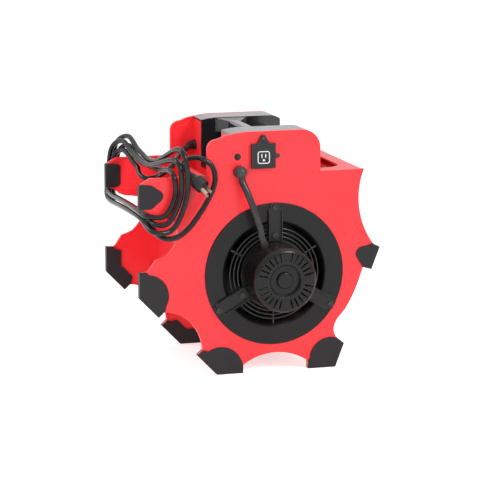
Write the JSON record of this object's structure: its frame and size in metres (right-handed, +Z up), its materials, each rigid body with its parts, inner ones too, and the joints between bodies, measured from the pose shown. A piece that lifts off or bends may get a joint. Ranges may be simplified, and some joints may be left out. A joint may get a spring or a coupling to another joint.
{
  "type": "multi-position centrifugal air blower",
  "caption": "Centrifugal blower in a star-shaped red housing with rubber feet, a carry handle, a motor on the inlet side and its cord wound on two horns.",
  "frame": {"origin": "middle of the footprint on the floor, in the floor stance", "axes": "+Z up, air leaves towards +X, the motor side faces -Y"},
  "size_m": [0.4511, 0.377, 0.44],
  "materials": {
    "shell": "moulded red polyethylene, satin outside",
    "foot_rubber": "matt black rubber",
    "inlet_black": "glossy black moulding",
    "guard_black": "black coated wire",
    "motor_black": "gloss black paint",
    "arm_black": "black paint",
    "screw_steel": "plated steel",
    "wheel_plastic": "black moulding",
    "core_steel": "laminated steel",
    "shaft_steel": "ground steel",
    "handle_black": "glossy black moulding",
    "control_black": "satin black moulding",
    "cord_rubber": "satin black jacket",
    "blade_brass": "plated brass"
  },
  "bodies": {
    "housing": {"near_shell": "shell", "far_shell": "shell", "inlet_ring": "inlet_black", "inlet_guard": "guard_black", "far_inlet_grille": "inlet_black", "outlet_grille": "guard_black", "shell_screws": "screw_steel", "motor_can": "motor_black", "motor_flange": "motor_black", "motor_front_bell": "motor_black", "motor_rear_bell": "motor_black", "motor_dust_cap": "motor_black", "motor_stator": "core_steel", "front_bearing": "shaft_steel", "rear_bearing": "shaft_steel", "motor_arm_top": "arm_black", "motor_arm_rear": "arm_black", "motor_arm_front": "arm_black", "arm_screws": "screw_steel", "handle_insert": "handle_black", "speed_switch": "control_black", "receptacle": "control_black", "cover_screw": "screw_steel", "receptacle_screw": "screw_steel", "breaker": "control_black", "lead_boot": "cord_rubber", "motor_lead": "cord_rubber", "lead_gland": "control_black", "strain_relief": "cord_rubber", "cord": "cord_rubber", "cord_winding": "cord_rubber", "cord_tail": "cord_rubber", "plug": "cord_rubber", "plug_blades": "blade_brass", "near_cap_horn": "foot_rubber", "near_cap_rear": "foot_rubber", "near_cap_rear_floor": "foot_rubber", "near_cap_front_floor": "foot_rubber", "near_cap_front": "foot_rubber", "far_cap_horn": "foot_rubber", "far_cap_rear": "foot_rubber", "far_cap_rear_floor": "foot_rubber", "far_cap_front_floor": "foot_rubber", "far_cap_front": "foot_rubber"},
    "fan": {"impeller": "wheel_plastic", "hub_nut": "shaft_steel", "motor_shaft": "shaft_steel", "motor_rotor": "core_steel"},
    "cover": {"receptacle_cover": "control_black"},
    "knob": {"speed_knob": "control_black"},
    "button": {"reset_button": "control_black"}
  },
  "joints": [
    {"name": "fan_spin", "type": "hinge", "parent": "housing", "child": "fan", "pos_m": [0.025, 0.035, 0.18], "axis": [0, 1, 0], "continuous": true},
    {"name": "cover_swing", "type": "hinge", "parent": "housing", "child": "cover", "pos_m": [0.0025, -0.1, 0.429], "axis": [0, -1, 0], "range_deg": [-25, 115]},
    {"name": "knob_turn", "type": "hinge", "parent": "housing", "child": "knob", "pos_m": [0.056, 0.1, 0.408], "axis": [0, -1, 0], "range_deg": [0, 135]},
    {"name": "button_press", "type": "slide", "parent": "housing", "child": "button", "axis": [0, 1, 0], "range_m": [0, 0.0025], "stiffness_N_per_m": 400, "springref_m": -0.001}
  ]
}
